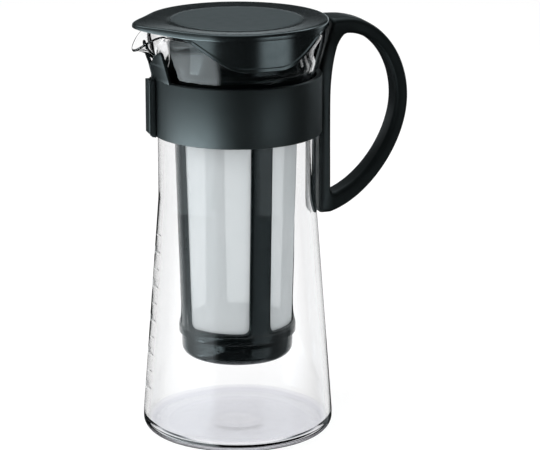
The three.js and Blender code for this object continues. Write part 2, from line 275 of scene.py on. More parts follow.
def loft(rings, closed=False):
    """Faces between rings of points, with flat ends unless the last ring meets the first."""
    size = len(rings[0])
    points = [p for ring in rings for p in ring]
    faces = []
    for i in range(len(rings) - (0 if closed else 1)):
        here = i * size
        there = (i + 1) % len(rings) * size
        for j in range(size):
            k = (j + 1) % size
            faces.append((here + j, here + k, there + k, there + j))
    if not closed:
        faces.append(tuple(reversed(range(size))))
        faces.append(tuple(range(len(points) - size, len(points))))
    return points, faces


def slab_faces(wide, high):
    """Faces of a thin slab. Its points are a front grid, wide by high, and then a back grid."""
    layer = wide * high
    faces = []
    for i in range(high - 1):
        for j in range(wide - 1):
            a = i * wide + j
            quad = (a, a + 1, a + 1 + wide, a + wide)
            faces.append(quad)
            faces.append(tuple(layer + k for k in reversed(quad)))
    rim = list(range(wide))
    rim += [i * wide + wide - 1 for i in range(1, high)]
    rim += [layer - 1 - j for j in range(1, wide)]
    rim += [i * wide for i in range(high - 2, 0, -1)]
    for a, b in zip(rim, rim[1:] + rim[:1]):
        faces.append((b, a, layer + a, layer + b))
    return faces


def joined(*shapes):
    """Several shapes of points and faces as one."""
    points = []
    faces = []
    for more_points, more_faces in shapes:
        start = len(points)
        points.extend(more_points)
        faces.extend(tuple(start + i for i in face) for face in more_faces)
    return points, faces


print("a slab of 3 by 2 points has", len(slab_faces(3, 2)), "faces")

# %% [markdown]
# Outlines are made of arcs and straight runs, with every corner slightly round, as moulds need.
# Two small functions do most of it: one goes evenly from a value to another, the other does so
# with a soft start and end. A bent bar carries one section about the pot's axis.

# %% Curves and sections


def mix(a, b, t):
    return a + (b - a) * t


def clamp(t):
    return min(1.0, max(0.0, t))


def ease(t):
    t = clamp(t)
    return t * t * (3 - 2 * t)


def steps(count):
    return [i / count for i in range(count + 1)]


def ellipse(x, y, rx, ry, start, end, count):
    turns = [math.radians(mix(start, end, t)) for t in steps(count)]
    return [(x + rx * math.cos(a), y + ry * math.sin(a)) for a in turns]


def arc(x, y, r, start, end, count):
    return ellipse(x, y, r, r, start, end, count)


def rounded(width, height, r, count):
    """Outline of a rectangle with round corners, about its middle."""
    x = width / 2 - r
    y = height / 2 - r
    spots = [(x, y, 0), (-x, y, 90), (-x, -y, 180), (x, -y, 270)]
    return [p for cx, cy, a in spots for p in arc(cx, cy, r, a, a + 90, count)]


def on_circle(radius, degrees, z):
    a = math.radians(degrees)
    return (radius * math.cos(a), radius * math.sin(a), z)


def bent_bar(section, radius, z, start, end, count):
    """A bar of one section, bent about the axis from one angle to another."""
    turns = [mix(start, end, t) for t in steps(count)]
    return loft([[on_circle(radius + u, a, z + v) for u, v in section] for a in turns])


print("a round-cornered section has", len(rounded(2, 1, 0.2, 4)), "points")

# %% [markdown]
# Each finished piece is welded, gets its faces turned outwards and is shaded smooth, with only
# its true corners left sharp. Then it gets its material, rides on the body that carries it and
# stands in for the plain CAD nodes of the same piece.

# %% Finishing a piece
weld_gap = 0.002


def tidy_mesh(mesh, sharp_angle):
    form = bmesh.new()
    form.from_mesh(mesh)
    bmesh.ops.remove_doubles(form, verts=form.verts, dist=weld_gap * MM)
    bmesh.ops.recalc_face_normals(form, faces=form.faces)
    form.to_mesh(mesh)
    form.free()
    mesh.shade_smooth()
    mesh.set_sharp_from_angle(angle=math.radians(sharp_angle))


def finish_piece(obj, body, material, nodes=(), sharp_angle=38):
    tidy_mesh(obj.data, sharp_angle)
    obj.data.materials.clear()
    obj.data.materials.append(material)
    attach(obj, body)
    if nodes:
        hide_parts(*nodes)
    print(f"{obj.name}: {len(obj.data.polygons)} faces, on {body}")


def merge_objects(name, *parts):
    """One object from several, with their meshes joined."""
    form = bmesh.new()
    for part in parts:
        form.from_mesh(part.data)
        bpy.data.objects.remove(part)
    mesh = bpy.data.meshes.new(name)
    form.to_mesh(mesh)
    form.free()
    return new_object(name, mesh)


print("points closer than", weld_gap, "mm are welded")

# %% [markdown]
# Geometry Nodes make what is turned or repeated. A tree gets named inputs for its sizes, the
# modifier's values are set by each socket's identifier, and the evaluated result is kept as a
# plain mesh, because that can be joined, welded and moved with its body like any other.

# %% Geometry trees
tree_gap = 0.003


def new_form(name, inputs):
    """A geometry node tree with named inputs: its builder and its inputs as values."""
    tree = bpy.data.node_groups.new(name, "GeometryNodeTree")
    nodes = Nodes(tree)
    face = tree.interface
    face.new_socket("Geometry", in_out="INPUT", socket_type="NodeSocketGeometry")
    for label, kind in inputs.items():
        face.new_socket(label, in_out="INPUT", socket_type="NodeSocket" + kind)
    face.new_socket("Geometry", in_out="OUTPUT", socket_type="NodeSocketGeometry")
    entry = tree.nodes.new("NodeGroupInput")
    return nodes, {s.name: Value(nodes, s) for s in entry.outputs if s.name}


def weld(nodes, geometry):
    near = {"Geometry": geometry, "Distance": tree_gap * MM}
    return nodes.add("GeometryNodeMergeByDistance", None, near)


def close_form(nodes, geometry, material):
    real = nodes.add("GeometryNodeRealizeInstances", None, {0: geometry})
    painted = nodes.add("GeometryNodeSetMaterial", None, {"Geometry": real, "Material": material})
    nodes.add("NodeGroupOutput", None, {0: painted})


def apply_form(obj, nodes, values):
    modifier = obj.modifiers.new("form", "NODES")
    modifier.node_group = nodes.tree
    for item in nodes.tree.interface.items_tree:
        if item.item_type == "SOCKET" and item.name in values:
            modifier[item.identifier] = values[item.name]
    shown = obj.evaluated_get(bpy.context.evaluated_depsgraph_get())
    mesh = bpy.data.meshes.new_from_object(shown)
    obj.modifiers.clear()
    obj.data = mesh
    return obj


print("trees weld points closer than", tree_gap, "mm")

# %% [markdown]
# Glass, cup, ring, cap and lid are round, so each is a profile turned about the axis. A Screw
# modifier could do that, but a tree can also draw the steps together at the spout, and carry each
# point's depth behind the outer face along, which the carafe needs for its spout.

# %% Turning a profile


def profile_object(name, outline, depths):
    """A chain of points, radius and height, each with its depth behind the outer face."""
    obj = mesh_object(name, [(r, 0, z) for r, z in outline], [])
    layer = obj.data.attributes.new("depth", "FLOAT", "POINT")
    for i, depth in enumerate(depths):
        layer.data[i].value = depth * MM
    return obj


def depth_of(nodes):
    return nodes.add("GeometryNodeInputNamedAttribute", {"data_type": "FLOAT"}, {"Name": "depth"})


def turned(nodes, profile, count, crowding):
    """Nodes that turn a profile about the Z axis. Crowding draws the steps towards the spout."""
    rows = nodes.add("GeometryNodeAttributeDomainSize", {"component": "MESH"}, {"Geometry": profile})
    sides = {"Vertices X": count + 1, "Vertices Y": rows}
    grid = nodes.add("GeometryNodeMeshGrid", None, sides)
    index = nodes.add("GeometryNodeInputIndex")
    column = (index / rows).floor()
    row = index % rows

    def of_profile(kind, value):
        sample = {"Geometry": profile, "Value": value, "Index": row}
        return nodes.add("GeometryNodeSampleIndex", {"data_type": kind}, sample)

    spot = nodes.add("GeometryNodeInputPosition")
    radius, _, height = nodes.parts(of_profile("FLOAT_VECTOR", spot))
    even = column / count * TAU
    angle = even + even.sine() * crowding
    spun = nodes.join(radius * angle.cosine(), radius * angle.sine(), height)
    moved = nodes.add("GeometryNodeSetPosition", None, {"Geometry": grid, "Position": spun})
    keep = {"Geometry": moved, "Name": "depth", "Value": of_profile("FLOAT", depth_of(nodes))}
    return nodes.add("GeometryNodeStoreNamedAttribute", {"data_type": "FLOAT"}, keep)


def turned_form():
    inputs = {"Steps": "Int", "Material": "Material"}
    nodes, given = new_form("turned_form", inputs)
    body = turned(nodes, given["Geometry"], given["Steps"], 0.0)
    close_form(nodes, weld(nodes, body), given["Material"])
    return nodes


turning = turned_form()


def turned_object(name, outline, material, count):
    profile = profile_object(name, outline, [0] * len(outline))
    return apply_form(profile, turning, {"Steps": count, "Material": material})


print("turning tree:", len(turning.tree.nodes), "nodes")

# %% [markdown]
# The plastic is satin: its skin scatters light over a fine grain, so highlights are broad and
# soft. A flat colour with one roughness would look like a toy. Here the grain is a bump from a
# fine noise, and two slower noises vary the colour and the roughness a little, as handling does.
# Where shade is painted on a piece, a second shader that mirrors less is mixed in.

# %% Plastic
patch_size = 22
patch_ends = (0.3, 0.7)
smudge_size = 5
smudge_change = 0.12
grain_change = 0.08
grain_strength = 0.6
# the index of the copy that mirrors less, mixed in as painted shade
shaded_copy_gloss = 1.27
highlight_tint = (0.86, 0.98, 1.0, 1)


def new_material(name):
    material = bpy.data.materials.new(name)
    material.use_nodes = True
    return material, Nodes(material.node_tree)


def close_material(nodes, shader):
    nodes.add("ShaderNodeOutputMaterial", None, {"Surface": shader})


def object_place(nodes):
    return nodes.add("ShaderNodeTexCoord", None, None, "Object")


def plastic(name, colours, roughness, grain_size, grain_depth, gloss, worn=None, shade_where=None):
    """A moulded plastic. Worn changes its roughness over a piece, and the last argument says where
    painted shade, a copy that mirrors less, is mixed in.
    """
    material, nodes = new_material(name)
    at = object_place(nodes)
    if worn:
        roughness = worn(nodes, at, roughness)
    dark, pale = colours
    patches = nodes.noise(at, patch_size, 3)
    smudges = nodes.noise(at, smudge_size, 4)
    grain = nodes.noise(at, grain_size, 2)
    surface = {
        "Base Color": nodes.mix(patches.smooth(*patch_ends), (*dark, 1), (*pale, 1)),
        "Roughness": roughness + (smudges - 0.5) * smudge_change + (grain - 0.5) * grain_change,
        "Normal": nodes.bump(grain, grain_depth, grain_strength),
        "IOR": gloss,
        "Specular Tint": highlight_tint,
    }
    shader = nodes.add("ShaderNodeBsdfPrincipled", None, surface)
    # painted shade: a copy that mirrors less is mixed in where the last argument says
    if shade_where:
        shaded_shader = nodes.add("ShaderNodeBsdfPrincipled", None, {**surface, "IOR": shaded_copy_gloss})
        shader = nodes.blend(shade_where(nodes, at), shader, shaded_shader)
    close_material(nodes, shader)
    return material


dark_grey = (0.0035, 0.0048, 0.005), (0.005, 0.0068, 0.007)
near_black = (0.002, 0.003, 0.0032), (0.003, 0.0042, 0.0045)
print("plastic: dark grey outside, near black inside")

# %% [markdown]
# Three finishes come from that one recipe. Band, handle and clasp are satin, with painted shade on
# the grip and the two prongs, where a copy that mirrors less is mixed in. The lid is smoother and
# has a matt disc in its middle. The basket is the darkest and smoothest, with almost no grain.
# Where a finish changes is told by the place on the object, since each piece stands where the CAD
# has it.

# %% Three plastic finishes
grip_starts = (42, 48)
prong_starts = (178, 180)
spout_side = (-30, -10)
# the share of painted shade on the prongs
prong_shade_share = 0.6
disc_border = (29, 33)
lid_top = (199, 202)
disc_dulling = 0.3


def painted_shade_parts(nodes, at):
    """Where painted shade is mixed into the satin: on the grip, and less so on the prongs."""
    x, _, z = nodes.parts(at)
    prongs = z.smooth_mm(*prong_starts) * (1 - x.smooth_mm(*spout_side))
    return x.smooth_mm(*grip_starts).high(prongs * prong_shade_share)


def matt_disc(nodes, at, roughness):
    x, y, z = nodes.parts(at)
    radius = (x * x + y * y) ** 0.5
    disc = (1 - radius.smooth_mm(*disc_border)) * z.smooth_mm(*lid_top)
    return roughness + disc * disc_dulling


# satin, with painted shade on the grip and the prongs
satin = plastic("satin_plastic", dark_grey, 0.41, 0.28, 0.02, 1.85, shade_where=painted_shade_parts)
lid_plastic = plastic("lid_plastic", dark_grey, 0.2, 0.35, 0.004, 2.05, worn=matt_disc)
smooth_plastic = plastic("basket_plastic", near_black, 0.08, 0.6, 0.0015, 1.55)
print("plastic finishes:", satin.name, lid_plastic.name, smooth_plastic.name)

# %% [markdown]
# Clear glass is drawn by refraction: it shows the white room behind it, and dark lines where the
# wall turns edge-on. Those lines are a little thinner with a lower index than real glass has, and
# a painted shade near the edge, a grey base colour where the wall turns edge-on, keeps them soft.
# The thick floor is tinted darker and bluer than the wall, partly for its thicker glass and partly
# as painted shade of the pot's shadow beneath it. Lamps must reach the basket inside, so for shadow
# and diffuse rays the glass is simply open. A slow bump gives the slight waviness of a blown wall.

# %% Glass
glass_index = 1.38
sway_size = 26
sway_depth = 0.35
sway_strength = 0.25
floor_ends = (3.6, 5)
edge_shade_starts = (0.86, 0.98)
clear_tint = (0.995, 0.995, 0.998, 1)
# the floor's darker, bluer tint: thicker glass, and partly painted shade of the pot's shadow
floor_tint_and_shade = (0.77, 0.77, 0.82, 1)
# grey painted shade where the glass turns edge-on
edge_shade_tint = (0.52, 0.53, 0.57, 1)
open_tint = (0.97, 0.98, 0.98, 1)


def clear_glass():
    material, nodes = new_material("carafe_glass_clear")
    at = object_place(nodes)
    _, _, z = nodes.parts(at)
    edge = nodes.add("ShaderNodeLayerWeight", None, {"Blend": 0.5}, "Facing")
    # darker, bluer floor: thicker glass, and partly painted shade of the pot's shadow
    clear = nodes.mix(z.smooth_mm(*floor_ends), floor_tint_and_shade, clear_tint)
    surface = {
        # painted shade: a grey base colour where the glass turns edge-on
        "Base Color": nodes.mix(edge.smooth(*edge_shade_starts), clear, edge_shade_tint),
        "Roughness": 0.0,
        "IOR": glass_index,
        "Transmission Weight": 1.0,
        "Normal": nodes.bump(nodes.noise(at, sway_size, 1), sway_depth, sway_strength),
    }
    body = nodes.add("ShaderNodeBsdfPrincipled", None, surface)
    open_air = nodes.add("ShaderNodeBsdfTransparent", None, {"Color": open_tint})
    path = nodes.add("ShaderNodeLightPath", None, None, "Is Shadow Ray")
    through = path.high(path.output("Is Diffuse Ray"))
    close_material(nodes, nodes.blend(through, body, open_air))
    return material


glass = clear_glass()
print("glass:", glass.name)

# %% [markdown]
# The filter cloth is a plain weave of fine threads. It could be drawn thread by thread, which
# would take far too many faces. Its weave is a pattern instead, on the piece's own UV map in
# millimetres, so that it follows the sheet. Threads cover most of it, and the small holes between
# them let a little of the far side through.

# %% Filter cloth
thread_pitch = 0.34
thread_depth = 0.05
thread_strength = 0.3
thread_ends = (0.55, 0.95)
hole_cover = 0.34
thread_cover = 0.18
cloud_size = 30
cloth_roughness = 0.75
# the cloth's tone and a lighter one; the lighter patches are a painted sheen of the cloth's folds
cloth_tone_and_sheen = (0.88, 0.92, 0.94, 1), (0.93, 0.96, 0.98, 1)


def filter_cloth():
    material, nodes = new_material("filter_cloth")
    across, up, _ = nodes.parts(nodes.add("ShaderNodeUVMap", {"uv_map": "UVMap"}))
    thread_a = abs((across * (math.pi / thread_pitch)).sine())
    thread_b = abs((up * (math.pi / thread_pitch)).sine())
    cover = thread_a.high(thread_b)
    # patches laid at random: a painted sheen of the cloth's folds
    fold_sheen_cloud = nodes.noise(object_place(nodes), cloud_size, 2).smooth(*patch_ends)
    surface = {
        "Base Color": nodes.mix(fold_sheen_cloud, *cloth_tone_and_sheen),
        "Roughness": cloth_roughness,
        "Normal": nodes.bump(cover, thread_depth, thread_strength),
        "Alpha": hole_cover + cover.smooth(*thread_ends) * thread_cover,
    }
    close_material(nodes, nodes.add("ShaderNodeBsdfPrincipled", None, surface))
    return material


cloth = filter_cloth()
print("cloth:", cloth.name)

# %% [markdown]
# The carafe is blown: a cone that bends into a straight neck, then a flared mouth with a thin
# lip. Inside, the mould left faint rings in the floor, and outside the foot is slightly hollow.
# It is one closed outline, up the outside, over the lip and down the inside. Each point of it
# knows how deep it lies in the glass.

# %% Carafe profile
wall = 2.4
lip_wall = 1.2
lip_start = 14
lip_run = 12
floor_thick = 3.4
belly_z = 8.0
base_corner = 5.3
neck_r = band_r - 2.9
neck_z = band_z - 32.6
mouth_z = band_z + 28.0
mouth_flare = 4.3
flare_share = 0.74
flare_lead = 6
bend_lead = 2
foot_ring = 7.0
foot_hollow = 0.3
foot_pad = 9.0
bend_run = 3.0
floor_rings = ((0.0, 3.5, 0.12), (10.0, 3.5, 0.08), (22.0, 4.5, 0.1))


def wall_at(z):
    return mix(wall, lip_wall, ease((z - rim_z + lip_start) / lip_run))


def glass_r(z):
    slope = (belly_r - neck_r) / (neck_z - belly_z)
    if z < neck_z - bend_run:
        return neck_r + slope * (neck_z - z)
    if z < neck_z + bend_run:
        return neck_r + slope * bend_run * ((neck_z + bend_run - z) / (2 * bend_run)) ** 2
    t = clamp((z - mouth_z) / (rim_z - mouth_z))
    return neck_r + mouth_flare * ease(t**flare_share)


def floor_height(r):
    raised = [high * math.exp(-(((r - at) / wide) ** 2)) for at, wide, high in floor_rings]
    return floor_thick + sum(raised)


def carafe_profile():
    base_r = belly_r - base_corner
    lip_z = rim_z - lip_wall / 2
    inner_corner = base_corner - wall / 2
    inner_base = belly_r - wall - inner_corner
    cone = [mix(belly_z, neck_z - bend_run - bend_lead, t) for t in steps(10)]
    bend = [mix(neck_z - bend_run, neck_z + bend_run, t) for t in steps(14)]
    flare = [mix(mouth_z - flare_lead, lip_z, t) for t in steps(28)]
    heights = cone + bend + flare
    hollow_r = [mix(foot_pad, base_r - foot_ring, t) for t in steps(20)]
    hollow = [(r, foot_hollow * math.sin(math.pi * t) ** 2) for r, t in zip(hollow_r, steps(20))]
    outside = [(0, 0), *hollow, *arc(base_r, base_corner, base_corner, -90, 0, 10)]
    outside += [(glass_r(z), z) for z in heights]
    lip = arc(glass_r(rim_z) - lip_wall / 2, lip_z, lip_wall / 2, 20, 160, 8)
    lining = [(glass_r(z) - wall_at(z), z) for z in reversed(heights)]
    base = arc(inner_base, floor_thick + inner_corner, inner_corner, 0, -90, 8)
    floor_r = [mix(inner_base, 0, t) for t in steps(40)[1:]]
    base += [(r, floor_height(r)) for r in floor_r]
    depths = [0] * len(outside) + [glass_r(z) - r for r, z in lip + lining] + [wall] * len(base)
    return outside + lip + lining + base, depths


carafe_outline, wall_depths = carafe_profile()
print("carafe profile:", len(carafe_outline), "points")

# %% [markdown]
# The spout is drawn out by hand while the glass is soft. It could be sculpted, but a formula
# keeps both faces of the wall parallel: it pulls the mouth's glass out and down into a keel that
# opens towards the rim. Small waves on the inner wall keep its lines from looking ruled.

# %% Carafe form
spout_reach = 8.95
spout_drop = 8.8
spout_high = 15.2
spout_angle = 21
keel_angle = 4
spout_curve = 1.2
spout_round = 0.7
spout_spread = 1.9
lip_step = 0.3
wave_size = 24
wave_high = 0.5


def off_spout(x, y):
    """Degrees between a point and the spout, about the axis."""
    return abs(y.math("ARCTAN2", y, x * -1)) * (360 / TAU)


def spout_pull(given, height, off):
    """How far the glass is drawn out and down at a height, off degrees from the keel."""
    t = ((height - given["Rim"] + given["High"]) / given["High"]).high(0).low(1)
    opening = given["Keel Angle"] + (given["Mouth Angle"] - given["Keel Angle"]) * t**spout_spread
    share = (1 - (off / opening).smooth(0, 1)).high(0)
    return given["Reach"] * t**spout_curve * share**spout_round, given["Drop"] * t**2 * share * -1


def carafe_form():
    sizes = ("Crowding", "Reach", "Drop", "High", "Rim", "Mouth Angle", "Keel Angle", "Waves")
    inputs = {"Steps": "Int", **dict.fromkeys(sizes, "Float"), "Material": "Material"}
    nodes, given = new_form("carafe_form", inputs)
    body = turned(nodes, given["Geometry"], given["Steps"], given["Crowding"])
    spot = nodes.add("GeometryNodeInputPosition")
    x, y, z = nodes.parts(spot)
    off = off_spout(x, y)
    depth = depth_of(nodes)
    swell = (nodes.noise(spot, wave_size, 1) - 0.5) * (depth / (wall * MM)) * given["Waves"]
    pull, sink = spout_pull(given, z, off)
    pull_below, sink_below = spout_pull(given, z - lip_step * MM, off)
    lean = pull - pull_below
    climb = sink - sink_below + lip_step * MM
    length = (lean * lean + climb * climb) ** 0.5
    radius = (x * x + y * y) ** 0.5
    drawn_radius = radius + pull + swell + depth * (1 - climb / length)
    out = drawn_radius / radius.high(0.1 * MM)
    drawn = nodes.join(x * out, y * out, z + sink + depth * lean / length)
    sides = {"A": radius, "B": neck_r * MM / 2}
    off_axis = nodes.add("FunctionNodeCompare", {"operation": "GREATER_THAN"}, sides)
    moving = {"Geometry": body, "Selection": off_axis, "Position": drawn}
    moved = nodes.add("GeometryNodeSetPosition", None, moving)
    close_form(nodes, weld(nodes, moved), given["Material"])
    return nodes


carafe = profile_object("carafe_wall", carafe_outline, wall_depths)
apply_form(carafe, carafe_form(), {
    "Steps": 220, "Crowding": 0.6, "Reach": spout_reach * MM, "Drop": spout_drop * MM,
    "High": spout_high * MM, "Rim": rim_z * MM, "Mouth Angle": spout_angle,
    "Keel Angle": keel_angle, "Waves": wave_high * MM, "Material": glass,
})
finish_piece(carafe, "carafe", glass, ["carafe_glass"], sharp_angle=75)

# %% [markdown]
# The handle is one moulded bar that runs up the neck as a flat spine, widens into a head beside
# the lid and comes round as a loop. Its side view is drawn first, as a maker would, with an outer
# and an inner outline of long curves, straight runs and small round corners.

# %% Handle outlines
grip_width = 13.0
grip_edge = 2.4
grip_thick = 6.4
grip_rise = 55.8
spine_root = 0.9
spine_thick = 5.9
spine_in = band_r - spine_root
spine_out = spine_in + spine_thick
spine_foot = grip_low.z
grip_reach = grip_high.x
grip_z = spine_foot + grip_rise
head_top = grip_high.z
head_gap = 0.8
head_in = lid_r + head_gap
crown_out = 4.8
band_proud = 0.6
band_top = mouth_z + band_proud
heel_r = 1.6
heel_corner = arc(spine_in + heel_r, spine_foot + heel_r, heel_r, 180, 270, 5)
head_corner = arc(head_in + heel_r, head_top - heel_r, heel_r, 90, 180, 5)
hole_crown_out = 7.8
hole_roof = 8.2
hole_heel_out = 2.8
hole_heel_high = 9.8
hole_heel_round = 3.5


def bezier(a, b, c, d, count):
    points = []
    for t in steps(count):
        s = 1 - t
        weights = (s**3, 3 * s * s * t, 3 * s * t * t, t**3)
        points.append(tuple(sum(w * p[k] for w, p in zip(weights, (a, b, c, d))) for k in (0, 1)))
    return points


def outer_outline():
    crown = spine_out + crown_out
    low_pull = mix(spine_out, grip_reach, 0.5), mix(spine_foot, grip_z, 0.1)
    back_pull = grip_reach, mix(spine_foot, grip_z, 0.57)
    head_pull = head_in, mix(band_top, head_top, 0.5)
    neck_pull = spine_in, mix(band_top, head_top, 0.2)
    neck_end = spine_in, mix(band_z, band_top, 0.9)
    return [
        *heel_corner,
        *bezier((spine_out, spine_foot), low_pull, back_pull, (grip_reach, grip_z), 40),
        *ellipse(crown, grip_z, grip_reach - crown, head_top - grip_z, 0, 90, 48),
        *head_corner,
        *bezier((head_in, head_top - heel_r), head_pull, neck_pull, neck_end, 24),
    ]


def hole_outline():
    out = grip_reach - grip_thick
    crown = spine_out + hole_crown_out
    top = head_top - hole_roof
    heel = spine_out + hole_heel_out
    heel_z = spine_foot + hole_heel_high
    corner = spine_out, heel_z
    spine_pull = spine_out, mix(grip_z, top, 0.6)
    roof_pull = mix(spine_out, crown, 0.5), top
    back_pull = out, mix(grip_z, heel_z, 0.38)
    low_pull = mix(heel, out, 0.56), mix(heel_z, grip_z, 0.15)
    return [
        *bezier((spine_out, grip_z), spine_pull, roof_pull, (crown, top), 24),
        *ellipse(crown, grip_z, out - crown, top - grip_z, 90, 0, 48),
        *bezier((out, grip_z), back_pull, low_pull, (heel, heel_z), 40),
        *bezier((heel, heel_z), corner, corner, (spine_out, heel_z + hole_heel_round), 8),
    ]


outer_line = outer_outline()
hole_line = hole_outline()
print("handle outlines:", len(outer_line), "and", len(hole_line), "points")

# %% [markdown]
# Between the outlines the bar has one round-cornered section. Sections could follow a middle
# line, but that bunches them in the tight heel. From a point inside the finger hole a ray crosses
# both outlines once, so each ray carries a section, and the bar closes on itself.

# %% Handle sections
hole_middle = (60.0, 155.0)
ray_count = 150
least_turn = 0.004
most_edge = 0.45
head_width = 22.0
head_deep = 15.0
head_long = 20.9
head_run = 20.0


def reach_along(outline, turn):
    """Distance from the hole's middle to an outline, along one direction."""
    dx = math.cos(turn)
    dz = math.sin(turn)
    best = 0.0
    for (ax, az), (bx, bz) in zip(outline, outline[1:] + outline[:1]):
        ax -= hole_middle[0]
        bx -= hole_middle[0]
        az -= hole_middle[1]
        bz -= hole_middle[1]
        side_a = ax * dz - az * dx
        side_b = bx * dz - bz * dx
        if side_a * side_b > 0 or side_a == side_b:
            continue
        share = side_a / (side_a - side_b)
        far = mix(ax, bx, share) * dx + mix(az, bz, share) * dz
        best = max(best, far)
    return best


def half_width(x, z):
    high = ease((z - head_top + head_deep) / head_deep)
    near = ease((head_in + head_long - x) / head_run)
    return mix(grip_width, head_width, high * near) / 2


def handle_section(turn):
    near = reach_along(hole_line, turn)
    far = reach_along(outer_line, turn)
    edge = min(grip_edge, most_edge * (far - near))
    ring = []
    for u, v in rounded(far - near, grip_width, edge, 5):
        along = (near + far) / 2 + u
        x = hole_middle[0] + along * math.cos(turn)
        z = hole_middle[1] + along * math.sin(turn)
        ring.append((x, v * half_width(x, z) / (grip_width / 2), z))
    return ring


def handle_turns():
    """Even turns, with more at the two small corners, none too close to the one before."""
    turns = [TAU * i / ray_count for i in range(ray_count)]
    for x, z in heel_corner + head_corner:
        turns.append(math.atan2(z - hole_middle[1], x - hole_middle[0]) % TAU)
    turns.sort()
    kept = [turns[0]]
    for turn in turns[1:]:
        if turn - kept[-1] > least_turn:
            kept.append(turn)
    return kept


handle_loop = loft([handle_section(turn) for turn in handle_turns()], closed=True)
print("handle loop:", len(handle_loop[1]), "faces")

# %% [markdown]
# The band is a strip bent round the neck, with a slit under the spout. A small rail stands at
# each side of the slit for the clasp, and two prongs stand up and lean out with the mouth. Band,
# prongs and handle come out of one mould, so they are joined as one piece.

# %% Band, rails and prongs
band_thick = 2.6
band_edge = 0.6
slit = 0.7
rail_wide = 2.0
rail_reach = 1.7
rail_edge = 0.35
prong_top = mouth_z + 15.6
prong_thick = 1.8
prong_proud = 0.6
prong_lean = 3.4
prong_edge = 0.45
prong_root = 0.5
prong_foot_angle = 23.5
prong_top_angle = 20.5
prong_tip = 0.35
prong_tip_share = 0.06
notch_deep = 8.4
notch_angle = 18
slit_angle = math.degrees(slit / 2 / band_r)


def band_strip():
    height = band_top - band_z
    section = rounded(band_thick, height, band_edge, 3)
    middle = band_r - band_thick / 2
    return bent_bar(section, middle, band_z + height / 2, slit_angle - 180, 180 - slit_angle, 180)


def rail(side):
    deep = rail_reach + band_thick / 2
    middle_x = -band_r - rail_reach + deep / 2
    middle_y = side * (slit / 2 + rail_wide / 2)
    section = rounded(deep, rail_wide, rail_edge, 3)
    return loft([[(middle_x + u, middle_y + v, z) for u, v in section] for z in (band_z, band_top)])


def prong(side):
    rings = []
    for t in steps(26):
        z = mix(band_top - prong_root, prong_top, t)
        opening = max(0.0, 1 - (prong_top - z) / notch_deep)
        start = mix(slit_angle, notch_angle, opening)
        end = mix(prong_foot_angle, prong_top_angle, t)
        outer = band_r + prong_proud + prong_lean * t
        tip = prong_tip * ease((t - 1 + prong_tip_share) / prong_tip_share)
        wide = math.radians(end - start) * outer
        ring = []
        for u, v in rounded(prong_thick - 2 * tip, wide - 2 * tip, prong_edge, 3):
            a = 180 - side * (mix(start, end, 0.5) + math.degrees(v / outer))
            ring.append(on_circle(outer - prong_thick / 2 + u, a, z))
        rings.append(ring)
    return loft(rings)


band_parts = joined(handle_loop, band_strip(), rail(-1), rail(1), prong(-1), prong(1))
handle = mesh_object("handle_and_band", *band_parts)
finish_piece(handle, "carafe", satin, ["handle_band"])

# %% [markdown]
# The clasp is a little channel that slides over both rails and holds the band shut. It could be
# a box with a groove cut out, but it is simpler as its cross-section, pushed up along the band,
# with its lower edge cut off at a slant.

# %% Clasp
clasp_thick = 1.5
clasp_wall = 1.0
clasp_slant = 2.2
clasp_edge = 0.3
clasp_taper = 0.05
taper_share = 0.01


def clasp_channel():
    out = clasp_low.x
    inner = out + clasp_thick
    end = clasp_high.x
    wide = clasp_high.y
    hollow = wide - clasp_wall
    e = clasp_edge
    section = [
        *arc(out + 2 * e, -wide + 2 * e, 2 * e, 180, 270, 4),
        *arc(end - e, -wide + e, e, 270, 360, 3),
        *arc(end - e, -hollow - e, e, 0, 90, 3),
        (inner, -hollow), (inner, hollow),
        *arc(end - e, hollow + e, e, 270, 360, 3),
        *arc(end - e, wide - e, e, 0, 90, 3),
        *arc(out + 2 * e, wide - 2 * e, 2 * e, 90, 180, 4),
    ]
    tapers = (0, clasp_taper), (taper_share, 0), (1 - taper_share, 0), (1, clasp_taper)
    rings = []
    for t, taper in tapers:
        ring = []
        for x, y in section:
            foot = clasp_low.z + max(0.0, clasp_slant - (x - out))
            ring.append((mix(x, (out + inner) / 2, taper), y, mix(foot, clasp_high.z, t)))
        rings.append(ring)
    return loft(rings)


clasp = mesh_object("band_clip", *clasp_channel())
finish_piece(clasp, "clasp", satin, ["band_clasp"])

# %% [markdown]
# The basket's wall is a cone with four tall windows. Cutting them with a boolean would leave
# ragged faces, so one quarter is drawn around its window instead. First comes the window's edge:
# each of its points also has a partner on the quarter's border.

# %% Window edge
window_count = 4
frame_wall = 2.2
shoulder_z = mouth_z - 3.1
shoulder_r = cup_r - 2.2
foot_r = shoulder_r - 3.5
window_top = shoulder_z - 4.5
window_z = window_top - 115.4
window_corner = 3.0
rib_wide = 10.9
quarter_low = window_z - 3.4
quarter_half = 180 / window_count
border_share = 0.8


def basket_r(z):
    return mix(foot_r, shoulder_r, (z - window_z) / (shoulder_z - window_z))


def window_half_angle(z, inset):
    r = basket_r(z)
    return quarter_half - math.degrees(math.asin(rib_wide / 2 / r)) - math.degrees(inset / r)


